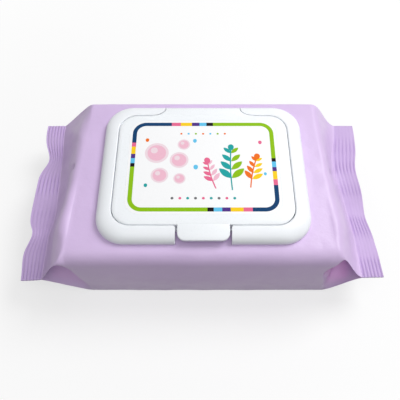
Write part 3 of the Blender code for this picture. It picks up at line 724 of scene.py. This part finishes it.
def crinkle(bm):
    """Soft waves over the film, stronger on the end panels, and the long faces' swells. The film
    under the cap and along the pack's foot stays as it is."""
    for vertex in bm.verts:
        place = vertex.co
        beside_cap = abs(place.x - CAP_X) > CAP_LENGTH / 2 + 2 * MM
        if place.z > PACK_HEIGHT - 1 * MM and not beside_cap or place.z < 1.2 * MM:
            continue
        ends = smooth((abs(place.x) - 58 * MM) / (12 * MM))
        at_seal = smooth((abs(place.x) - SEAL_INNER) / (2 * MM))
        depth = mix(*BROAD_DEPTH, ends) * noise.noise(place / BROAD_WAVE)
        depth += mix(*SMALL_DEPTH, ends) * noise.noise(place / SMALL_WAVE + Vector((4.0, 0.0, 0.0)))
        rear = smooth((place.y - LONG_FACE) / (3 * MM)) * bump(place.z, SEAL_HEIGHT, SWELL_SPREAD)
        dents = noise.noise(place / REAR_WAVE + Vector((0.0, 0.0, 8.0)))
        depth += REAR_DEPTH * rear * (1.0 - ends) * dents
        swell = FRONT_SWELL if place.y < 0.0 else REAR_SWELL
        swell *= bump(place.z, SWELL_LEVEL, SWELL_SPREAD)
        swell *= max(0.0, 1.0 - (place.x / SWELL_REACH) ** 2)
        swell *= smooth((abs(place.y) - LONG_FACE) / (3 * MM))
        vertex.co = place - vertex.normal * abs(depth) * (1.0 - 0.7 * at_seal)
        vertex.co.y += math.copysign(swell, place.y)


def cut_distance(x, y):
    """Signed distance from the outline of the cut in the film, negative inside."""
    dx = abs(x - CAP_X) - (OPENING_LENGTH / 2 - OPENING_CORNER)
    dy = abs(y - CAP_Y) - (OPENING_DEPTH / 2 - OPENING_CORNER)
    outside = math.hypot(max(dx, 0.0), max(dy, 0.0))
    return outside + min(max(dx, dy), 0.0) - (OPENING_CORNER - FILM_EDGE)


def cut_hole(bm):
    """Opens the top film along the dispensing cut and turns its edge down a little."""
    gone = []
    for face in bm.faces:
        x, y, z = face.calc_center_median()
        if z > PACK_HEIGHT - 2 * MM and cut_distance(x, y) < 0.0:
            gone.append(face)
    bmesh.ops.delete(bm, geom=gone, context="FACES")
    rim = [e for e in bm.edges if e.is_boundary]
    for vertex in {v for e in rim for v in e.verts}:
        snap_to_cut(vertex)
    turned = bmesh.ops.extrude_edge_only(bm, edges=rim)
    for vertex in (v for v in turned["geom"] if isinstance(v, bmesh.types.BMVert)):
        vertex.co.z -= HOLE_TURN


def snap_to_cut(vertex):
    """Moves a point on the hole's stepped edge onto the smooth outline."""
    step = 0.05 * MM
    for _ in range(4):
        x, y = vertex.co.xy
        away = cut_distance(x, y)
        vertex.co.x -= away * ((cut_distance(x + step, y) - away) / step)
        vertex.co.y -= away * ((cut_distance(x, y + step) - away) / step)


# The cap

CORNERS = ((1, -1, -90), (1, 1, 0), (-1, 1, 90), (-1, -1, 180))  # sides and first angle of each


def rounded(length, depth, radius, level):
    """A rounded rectangle round the cap's middle."""
    ring = []
    for right, rear, start in CORNERS:
        for k in range(CORNER_STEPS + 1):
            turn = math.radians(start + 90 * k / CORNER_STEPS)
            x = CAP_X + right * (length / 2 - radius) + radius * math.cos(turn)
            y = CAP_Y + rear * (depth / 2 - radius) + radius * math.sin(turn)
            ring.append(Vector((x, y, level)))
    return ring


def frame_outline(inset, level):
    radius = mix(CAP_CORNER, LID_CORNER, min(1.0, inset / RING_WIDTH))
    radius -= max(0.0, inset - RING_WIDTH)
    return rounded(CAP_LENGTH - 2 * inset, CAP_DEPTH - 2 * inset, radius, level)


def lid_outline(inset, level):
    return frame_outline(LID_INSET + inset, level)


def cut_outline(grow, level):
    radius = OPENING_CORNER + grow
    return rounded(OPENING_LENGTH + 2 * grow, OPENING_DEPTH + 2 * grow, radius, level)


def label_outline(grow, level):
    length, depth = LABEL_HIGH.x - LABEL_LOW.x, LABEL_HIGH.y - LABEL_LOW.y
    ring = rounded(length + 2 * grow, depth + 2 * grow, LABEL_CORNER + grow, level)
    return [point + Vector((0.0, LABEL_Y - CAP_Y, 0.0)) for point in ring]


def arch_level(inset):
    """Level of the ring's arched top, at a distance in from the cap's edge."""
    run = min(1.0, max(0.0, (ARCH_WIDTH - inset) / ARCH_WIDTH))
    start = FOOT + FLANGE
    return start + (PARTING - start) * math.sqrt(1.0 - run * run)


def tongue(stations, half_width, low, high, edge=0.0):
    """A plate lofted along Y, with rounded long edges where an edge radius is given."""
    rings = []
    for y in stations:
        half, bottom, top = half_width(y), low(y), high(y)
        profile = []
        for side, up, start in CORNERS:
            for k in range(EDGE_STEPS + 1 if edge else 1):
                turn = math.radians(start + 90 * k / EDGE_STEPS)
                x = side * (half - edge) + edge * math.cos(turn)
                z = (top - edge if up > 0 else bottom + edge) + edge * math.sin(turn)
                profile.append((x, z))
        rings.append([Vector((CAP_X + x, y, z)) for x, z in profile])
    return loft(rings)


def curve_stations(first, last, steps):
    return [last - (last - first) * math.cos(math.pi / 2 * k / steps) for k in range(steps + 1)]


def notch_cutter():
    """The notch for the tab, with its edges rounded off outside and inside."""
    inner = CAP_FRONT + POCKET_INSET

    def half_width(y):
        out = max(0.0, CAP_FRONT + NOTCH_ROUND - y) / NOTCH_ROUND
        back = max(0.0, y - (inner - NOTCH_ROUND)) / NOTCH_ROUND
        turn = min(1.0, max(out, back))
        return NOTCH_WIDTH / 2 + NOTCH_ROUND * (1.0 - math.sqrt(1.0 - turn * turn))

    stations = [CAP_FRONT - 2 * NOTCH_ROUND, *spread(CAP_FRONT, CAP_FRONT + NOTCH_ROUND, 8)]
    stations += [*spread(inner - NOTCH_ROUND, inner, 8), inner + PARTING_GAP]
    return tongue(stations, half_width, lambda y: FLOOR_TOP, lambda y: ABOVE)


def notch_sill_cutter():
    """A block that opens the ring's foot under the notch."""
    depth = POCKET_INSET - 1.2 * MM
    size = (NOTCH_WIDTH - 0.02 * MM, RING_WIDTH + 12 * MM, 12 * MM)
    return block(size, (CAP_X, CAP_FRONT - 6 * MM + depth - RING_WIDTH / 2, FOOT))


def land_half_width(y, grow=0.0):
    """The hinge land flares towards the lid."""
    run = min(1.0, max(0.0, (LAND_STRAIGHT - y) / (LAND_FLARE_DEPTH - grow)))
    return LAND_WIDTH / 2 + LAND_FLARE - (LAND_FLARE - grow) * math.sqrt(1.0 - run * run)


def land_cutter():
    """Room for the hinge land in the ring."""
    stations = [CAP_REAR - POCKET_INSET - PARTING_GAP]
    stations += curve_stations(LAND_START + PARTING_GAP, LAND_STRAIGHT, LAND_STEPS)
    stations.append(CAP_REAR - HINGE_WALL)
    return tongue(
        stations,
        lambda y: land_half_width(y, PARTING_GAP),
        lambda y: FLOOR_TOP,
        lambda y: ABOVE,
    )


def cap_frame():
    """The cap's ring, floor and lipped opening, finer than its solid."""
    turns = spread(0.0, math.pi / 2, ARCH_STEPS)
    arch = [ARCH_WIDTH * (1.0 - math.cos(turn)) for turn in turns]
    rings = [frame_outline(0.15 * MM, FOOT), frame_outline(0.0, FOOT + 0.15 * MM)]
    rings += [frame_outline(inset, arch_level(inset)) for inset in arch]
    rings += [
        frame_outline(POCKET_INSET - BEVEL, PARTING - 0.02 * MM),
        frame_outline(POCKET_INSET - 0.1 * MM, PARTING - 0.12 * MM),
        frame_outline(POCKET_INSET, PARTING - 0.35 * MM),
        frame_outline(POCKET_INSET, FLOOR_TOP + BEVEL),
        frame_outline(POCKET_INSET + BEVEL, FLOOR_TOP),
        cut_outline(LIP_THICKNESS + BEVEL, FLOOR_TOP),
        cut_outline(LIP_THICKNESS, FLOOR_TOP + BEVEL),
        cut_outline(LIP_THICKNESS, LIP_TOP - BEVEL),
        cut_outline(0.72 * LIP_THICKNESS, LIP_TOP),
        cut_outline(0.28 * LIP_THICKNESS, LIP_TOP),
        cut_outline(0.0, LIP_TOP - BEVEL),
        cut_outline(0.0, FLOOR_BOTTOM),
        frame_outline(RING_WIDTH, FLOOR_BOTTOM),
        frame_outline(RING_WIDTH - 0.4 * MM, FOOT),
    ]
    white = plastic_material("cap_white", (0.86, 0.885, 0.92), 0.32)
    base = piece("cap_frame", loft(rings, closed=True), white)
    combine(base, "DIFFERENCE", notch_cutter(), notch_sill_cutter(), land_cutter())
    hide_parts("cap_base")
    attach(base, "pack")


def tab_plate():
    """The finger tab, which bows down to its tip."""
    tip = CAP_FRONT + TAB_SHORT
    bend = CAP_FRONT + LID_INSET
    root = bend + SKIRT_WALL / 2

    def half_width(y):
        run = max(0.0, tip + TAB_CORNER - y)
        return TAB_WIDTH / 2 - TAB_CORNER + math.sqrt(max(0.0, TAB_CORNER**2 - run * run))

    def high(y):
        run = max(0.0, (bend - y) / (bend - tip))
        return PARTING - 0.03 * MM - TAB_DROP * run**2.2

    turns = [math.pi / 2 * k / TAB_STEPS for k in range(TAB_STEPS, 0, -1)]
    stations = [tip + TAB_CORNER * (1.0 - math.sin(turn)) for turn in turns]
    stations += spread(tip + TAB_CORNER, root, 10)
    return tongue(stations, half_width, lambda y: high(y) - TAB_THICKNESS, high, 0.5 * MM)


def land_plate():
    """The land between the lid and its hinge, level with the ring's arch."""
    root = CAP_REAR - LID_INSET - SKIRT_WALL / 2
    stations = [root, *curve_stations(LAND_START, LAND_STRAIGHT, LAND_STEPS)]
    stations += spread(LAND_STRAIGHT, CAP_REAR - LAND_END, 8)[1:]

    def high(y):
        return arch_level(CAP_REAR - y) - 0.06 * MM

    return tongue(stations, land_half_width, lambda y: high(y) - 1.08 * MM, high, 0.2 * MM)


def cap_lid():
    """The lid with its soft edge, label recess, seal rib, tab and hinge land."""
    rib = LIP_THICKNESS + PARTING_GAP
    rings = [
        label_outline(BEVEL, LABEL_LOW.z - BEVEL),
        label_outline(BEVEL, LID_TOP - 0.03 * MM),
        label_outline(BEVEL + 0.03 * MM, LID_TOP),
    ]
    for turn in reversed(spread(0.0, math.pi / 2, LID_ROUND_STEPS)):
        level = mix(PARTING - LID_EDGE_DROP, LID_TOP, math.sin(turn))
        rings.append(lid_outline(LID_ROUND * (1.0 - math.cos(turn)), level))
    rings += [
        lid_outline(0.0, SKIRT_BOTTOM),
        lid_outline(SKIRT_WALL, SKIRT_BOTTOM),
        lid_outline(SKIRT_WALL, LID_UNDER),
        cut_outline(rib + SEAL_RIB, LID_UNDER),
        cut_outline(rib + SEAL_RIB, SKIRT_BOTTOM),
        cut_outline(rib, SKIRT_BOTTOM),
        cut_outline(rib, LID_UNDER),
    ]
    white = plastic_material("lid_white", (0.87, 0.9, 0.93), 0.3)
    lid = piece("lid_shell", loft(rings), white)
    combine(lid, "UNION", tab_plate(), land_plate())
    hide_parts("cap_lid")
    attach(lid, "lid")


# The label and its print

INKS = {
    "navy": (0.010, 0.055, 0.155),
    "green": (0.27, 0.52, 0.012),
    "pink": (0.80, 0.15, 0.29),
    "yellow": (0.93, 0.62, 0.02),
    "purple": (0.085, 0.035, 0.24),
    "sky": (0.13, 0.55, 0.83),
    "black": (0.012, 0.008, 0.012),
    "teal": (0.02, 0.36, 0.36),
    "orange": (0.86, 0.17, 0.02),
    "rose": (0.86, 0.50, 0.62),
    "blush": (0.86, 0.70, 0.76),
    "grey": (0.16, 0.16, 0.17),
}
INK_LAYER = 0.012 * MM
LABEL_MARGIN = 0.27 * MM  # how far the sheet reaches past its solid
# In millimetres, as all that is printed
BORDER_LENGTH, BORDER_DEPTH, BORDER_CORNER, BORDER_LINE, BORDER_STEP = 77.6, 55.6, 7.4, 2.3, 0.8
BORDER_SIDES = (BORDER_LENGTH, BORDER_DEPTH) * 2
BORDER_ARC = math.pi / 2 * BORDER_CORNER
STEM_WIDTH, STEM_BOW, DROP_TIP = 0.7, 0.6, 0.5


def label():
    levels = (LABEL_LOW.z, LABEL_HIGH.z - 0.03 * MM)
    bm = loft([label_outline(LABEL_MARGIN, level) for level in levels])
    made = piece("label_sheet", bm, label_material())
    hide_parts("lid_label")
    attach(made, "lid")


class Print:
    """Flat shapes of ink, one piece for each ink, in millimetres from the label's middle."""

    def __init__(self):
        self.shapes = {}
        self.level = LABEL_HIGH.z - 0.02 * MM

    def add(self, ink, outline, x=0.0, y=0.0, turn=0.0, layer=0):
        c, s = math.cos(turn), math.sin(turn)
        z = self.level + layer * INK_LAYER
        points = [(x + u * c - v * s, y + u * s + v * c) for u, v in outline]
        ring = [Vector((CAP_X + px * MM, LABEL_Y + py * MM, z)) for px, py in points]
        self.shapes.setdefault(ink, []).append(ring)

    def disc(self, ink, x, y, radius, layer=0, tip=0.0, turn=0.0):
        """A disc, or a drop where a share of its radius is drawn out to a tip at +u."""
        turns = [2 * math.pi * k / OUTLINE_STEPS for k in range(OUTLINE_STEPS)]
        reach = [radius * (1.0 - tip + tip * ((1.0 + math.cos(a)) / 2) ** 3) for a in turns]
        outline = [(r * math.cos(a), r * math.sin(a)) for r, a in zip(reach, turns)]
        self.add(ink, outline, x, y, turn, layer)

    def leaf(self, ink, x, y, length, turn, layer):
        """A pointed leaf that starts at its stem."""
        width = 0.42 * length
        shares = spread(0.0, 1.0, LEAF_STEPS)
        edge = [(length * s, width / 2 * math.sin(math.pi * s) ** 0.8) for s in shares]
        outline = edge + [(u, -v) for u, v in reversed(edge[1:-1])]
        self.add(ink, outline, x, y, turn, layer)

    def stem(self, ink, x, y, length, turn):
        """A thin bowed line."""
        shares = spread(0.0, 1.0, LEAF_STEPS)
        line = [(length * s, STEM_BOW * math.sin(math.pi * s)) for s in shares]
        outline = [(u, v + STEM_WIDTH / 2) for u, v in line]
        outline += [(u, v - STEM_WIDTH / 2) for u, v in reversed(line)]
        self.add(ink, outline, x, y, turn)

    def make(self):
        for ink, rings in self.shapes.items():
            bm = bmesh.new()
            for ring in rings:
                bm.faces.new([bm.verts.new(point) for point in ring])
            bm.normal_update()
            for face in bm.faces:
                if face.normal.z < 0:
                    face.normal_flip()
            bmesh.ops.triangulate(bm, faces=bm.faces[:])
            name = f"ink_{ink}"
            made = put(name, mesh_of(name, bm, ink_material(name, INKS[ink])))
            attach(made, "lid")


def border_point(distance, offset):
    """A point at a distance round the border, counter-clockwise from the front left corner's end,
    drawn in by an offset."""
    point = Vector((BORDER_CORNER - BORDER_LENGTH / 2, -BORDER_DEPTH / 2))
    for k, side in enumerate(BORDER_SIDES):
        along = Vector((math.cos(math.pi / 2 * k), math.sin(math.pi / 2 * k)))
        inward = Vector((-along.y, along.x))
        run = side - 2 * BORDER_CORNER
        if distance <= run:
            return (point + along * distance + inward * offset)[:]
        point += along * run
        distance -= run
        if distance <= BORDER_ARC:
            turn = distance / BORDER_CORNER
            out = along * math.sin(turn) - inward * math.cos(turn)
            return (point + inward * BORDER_CORNER + out * (BORDER_CORNER - offset))[:]
        point += (along + inward) * BORDER_CORNER
        distance -= BORDER_ARC
    return border_point(0.0, offset)


def border_segments():
    """Ink, start and end of each length of the border: five short bands in a run on each side, at
    shares of that side, and one long band between each two runs."""
    starts = [0.0]
    for side in BORDER_SIDES:
        starts.append(starts[-1] + side - 2 * BORDER_CORNER + BORDER_ARC)
    total = starts.pop()

    def at(side, share):
        return starts[side] + share * BORDER_SIDES[side] - BORDER_CORNER

    bands = []
    inks = ("black", "sky", "purple", "yellow", "pink")
    for side, shares in enumerate((
        (0.526, 0.567, 0.622, 0.677, 0.76, 0.82),
        (0.276, 0.338, 0.428, 0.473, 0.535, 0.574),
        (0.429, 0.476, 0.526, 0.58, 0.66, 0.725),
        (0.244, 0.291, 0.376, 0.426, 0.482, 0.522),
    )):
        order = inks if side in (0, 2) else inks[::-1]
        bands += [(ink, at(side, a), at(side, b)) for ink, a, b in zip(order, shares, shares[1:])]
    for k, ink in enumerate(("navy", "green") * 2):
        first = bands[5 * k + 4][2]
        last = bands[(5 * k + 5) % 20][1] + (total if k == 3 else 0.0)
        bands.append((ink, first, last))
    return bands, total


def border(sheet):
    bands, total = border_segments()
    for ink, first, last in bands:
        steps = max(1, int((last - first) / BORDER_STEP))
        places = [d % total for d in spread(first, last, steps)]
        outer = [border_point(d, 0.0) for d in places]
        inner = [border_point(d, BORDER_LINE) for d in places]
        for a, b, c, d in zip(outer, outer[1:], inner[1:], inner):
            sheet.add(ink, (a, b, c, d))


def motifs(sheet):
    """A plain design of leaves, drops and bubbles."""
    up = math.pi / 2
    sprigs = (
        (15.0, -15.5, 26.0, 0.0, "teal", "green"),
        (24.5, -14.0, 19.0, -0.22, "orange", "yellow"),
        (6.5, -14.5, 17.0, 0.25, "pink", "rose"),
    )
    bubbles = (
        (-25.0, 7.5, 6.4),
        (-12.9, 3.0, 5.0),
        (-23.0, -6.5, 4.6),
        (-10.5, 13.0, 3.4),
        (-12.5, -8.5, 3.2),
    )
    drops = (
        (-4.0, -2.0, 2.0, "sky"),
        (-4.5, 15.0, 1.7, "sky"),
        (-30.5, 15.5, 1.6, "orange"),
        (-30.0, -13.0, 1.5, "teal"),
        (31.0, 14.0, 1.6, "pink"),
        (32.6, -6.0, 1.3, "sky"),
    )
    for x, y, length, tilt, first, second in sprigs:
        turn = up + tilt
        c, s = math.cos(turn), math.sin(turn)
        sheet.stem(first, x, y, length, turn)
        for k in range(4):
            run = length * (0.28 + 0.2 * k)
            place = x + run * c, y + run * s
            size = length * (0.34 - 0.045 * k)
            sheet.leaf(first, *place, size, turn + 0.85, 1)
            sheet.leaf(second, *place, size, turn - 0.85, 2)
        sheet.disc(first, x + length * c, y + length * s, 2.6, 3, DROP_TIP, turn)
    for x, y, size in bubbles:
        sheet.disc("blush", x, y, size)
        sheet.disc("rose", x, y, 0.78 * size, 1)
        sheet.disc("blush", x - 0.22 * size, y + 0.25 * size, 0.3 * size, 2)
    for x, y, size, ink in drops:
        sheet.disc(ink, x, y, size, 1, DROP_TIP, up)
    for k in range(9):
        sheet.disc(("grey", "pink", "teal")[k % 3], -16.0 + 4.0 * k, -20.2, 0.75)
    for k in range(7):
        sheet.disc(("orange", "sky", "green")[k % 3], -12.0 + 4.0 * k, 20.2, 0.6)


# The wipes


def wipes():
    """The top of the stack: soft folded sheets with damp ripples."""
    low, high = STACK_LOW, STACK_HIGH
    bm = block(high - low, (high + low) / 2)
    long_edges = [e for e in bm.edges if abs(e.verts[0].co.x - e.verts[1].co.x) > 50 * MM]
    bmesh.ops.bevel(
        bm, geom=long_edges, offset=STACK_EDGE, segments=8, profile=0.5, affect="EDGES"
    )
    for axis, cells in enumerate(STACK_CELLS):
        normal = Vector((1 - axis, axis, 0))
        for k in range(1, cells):
            place = normal * (low[axis] + (high[axis] - low[axis]) * k / cells)
            geometry = bm.verts[:] + bm.edges[:] + bm.faces[:]
            bmesh.ops.bisect_plane(bm, geom=geometry, plane_co=place, plane_no=normal)
    for vertex in bm.verts:
        place = vertex.co
        if place.z > high.z - 0.1 * MM:
            ripple = waver(place.x / (14 * MM), place.y / (5 * MM), 2.0)
            fold = smooth((place.y - CAP_Y + 3.0 * MM) / (1.2 * MM))
            place.z -= STACK_RIPPLE * abs(ripple) + STACK_FOLD * fold
    made = piece("wipes_block", bm, wipes_material(), 60.0)
    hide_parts("wipes_stack")
    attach(made, "pack")


def tuft():
    """The next sheet's folded edge: thin cloth that goes up, over its fold and down in pleats."""
    middle = (TUFT_LOW.y + TUFT_HIGH.y) / 2
    length, half = TUFT_HIGH.x - TUFT_LOW.x, (TUFT_HIGH.y - TUFT_LOW.y) / 2
    height = TUFT_HIGH.z - TUFT_LOW.z
    rings = []
    for share in spread(0.0, 1.0, TUFT_STEPS):
        rise = height * (0.6 + 0.4 * math.sin(math.pi * share) ** 0.5)
        rise *= 0.97 + 0.03 * math.sin(17.0 * share)
        pleat = 0.4 * half * (math.sin(23.0 * share) + waver(8.0 * share, 1.0, 0.0))
        outer, inner = [], []
        for turn in spread(0.0, math.pi, TUFT_ARC_STEPS):
            up = math.sin(turn) ** 0.8
            foot = (1.0 - TUFT_CLOTH / half) * math.cos(turn) * mix(0.94, 0.35, up)
            x = mix(TUFT_LOW.x, TUFT_HIGH.x, mix(share, 0.5, 0.06 * up))
            y, z = middle + half * foot + pleat * mix(0.1, 0.7, up), rise * up
            outer.append(Vector((x, y, TUFT_LOW.z + z)))
            y -= TUFT_CLOTH * math.cos(turn)
            inner.append(Vector((x, y, TUFT_LOW.z + max(0.0, z - TUFT_CLOTH * math.sin(turn)))))
        rings.append(outer + inner[::-1])
    made = piece("tuft_cloth", loft(rings), wipes_material(), 60.0)
    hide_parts("wipe_tuft")
    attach(made, "pack")


# Floor, light and camera


def seen_directly(nodes, links):
    """1 where the camera, a reflection or a refraction looks at the surface, and 0 elsewhere."""
    path = nodes.new("ShaderNodeLightPath")
    seen = path.outputs["Is Camera Ray"]
    for ray in ("Is Glossy Ray", "Is Transmission Ray"):
        either = nodes.new("ShaderNodeMath")
        either.operation = "MAXIMUM"
        links.new(seen, either.inputs[0])
        links.new(path.outputs[ray], either.inputs[1])
        seen = either.outputs[0]
    return seen


def mixed(nodes, links, share, first, second):
    node = nodes.new("ShaderNodeMixShader")
    for start, end in zip((share, first.outputs[0], second.outputs[0]), node.inputs):
        links.new(start, end)
    return node


def floor():
    bm = bmesh.new()
    bmesh.ops.create_grid(bm, x_segments=2, y_segments=2, size=3.0)
    made = piece("floor", bm, floor_material())


def floor_material():
    """A pale floor: the camera and reflections see it white, with the object's soft shadow."""
    shader = Shader("floor_white", 0.9, 0.0)
    grain = shader.noise(0.02, 2.0, 0.5)
    shader.colour(shader.tones(grain, (0.25,) * 3, (0.27,) * 3, 0.0, 1.0))
    pale = shader.add("ShaderNodeBsdfDiffuse", {"Color": (0.92, 0.92, 0.92, 1.0)})
    glow = shader.add("ShaderNodeEmission")
    distance = shader.add("ShaderNodeVectorMath", operation="LENGTH")
    shader.link(shader.add("ShaderNodeTexCoord").outputs["Object"], distance.inputs[0])
    share = shader.span(distance.outputs["Value"], 0.62, 1.0, 0.1, 0.3)
    tree = shader.nodes, shader.links
    seen = mixed(*tree, share, pale, glow)
    choice = mixed(*tree, seen_directly(*tree), shader.main, seen)
    shader.link(choice.outputs[0], shader.nodes["Material Output"].inputs["Surface"])
    return shader.material


def area(name, place, size, power):
    light = bpy.data.lights.new(name, "AREA")
    light.shape = "DISK"
    light.size = size
    light.energy = power
    made = put(name, light)
    made.location = place
    made.rotation_mode = "QUATERNION"
    made.rotation_quaternion = (Vector(LIGHT_TARGET) - Vector(place)).to_track_quat("-Z", "Y")


def world():
    """Soft white surroundings, and plain white where the camera or a reflection sees them."""
    scene = bpy.context.scene
    scene.world = bpy.data.worlds.new("surroundings")
    scene.world.use_nodes = True
    nodes, links = scene.world.node_tree.nodes, scene.world.node_tree.links
    plain, seen = nodes["Background"], nodes.new("ShaderNodeBackground")
    for shade, strength in ((plain, WORLD_LIGHT), (seen, 1.0)):
        shade.inputs["Color"].default_value = (1.0, 1.0, 1.0, 1.0)
        shade.inputs["Strength"].default_value = strength
    choice = mixed(nodes, links, seen_directly(nodes, links), plain, seen)
    links.new(choice.outputs[0], nodes["World Output"].inputs["Surface"])


def camera():
    data = bpy.data.cameras.new("camera")
    data.sensor_width = SENSOR_WIDTH
    data.lens = SENSOR_WIDTH * FOCAL_SHARE
    data.clip_start = 0.01
    made = put("camera", data)
    made.location = CAMERA_PLACE
    made.rotation_euler = (math.radians(90.0 - CAMERA_ELEVATION), 0.0, 0.0)
    bpy.context.scene.camera = made


def paint_adhesive():
    node = frame["nodes"]["cap_adhesive"]
    node.data.materials.clear()
    node.data.materials.append(adhesive_material())


pouch()
cap_frame()
cap_lid()
label()
artwork = Print()
border(artwork)
motifs(artwork)
artwork.make()
wipes()
tuft()
paint_adhesive()
floor()
world()
for lamp, (spot, across, power) in LIGHTS.items():
    area(lamp, spot, across, power)
camera()
bpy.context.scene.view_settings.view_transform = "Standard"
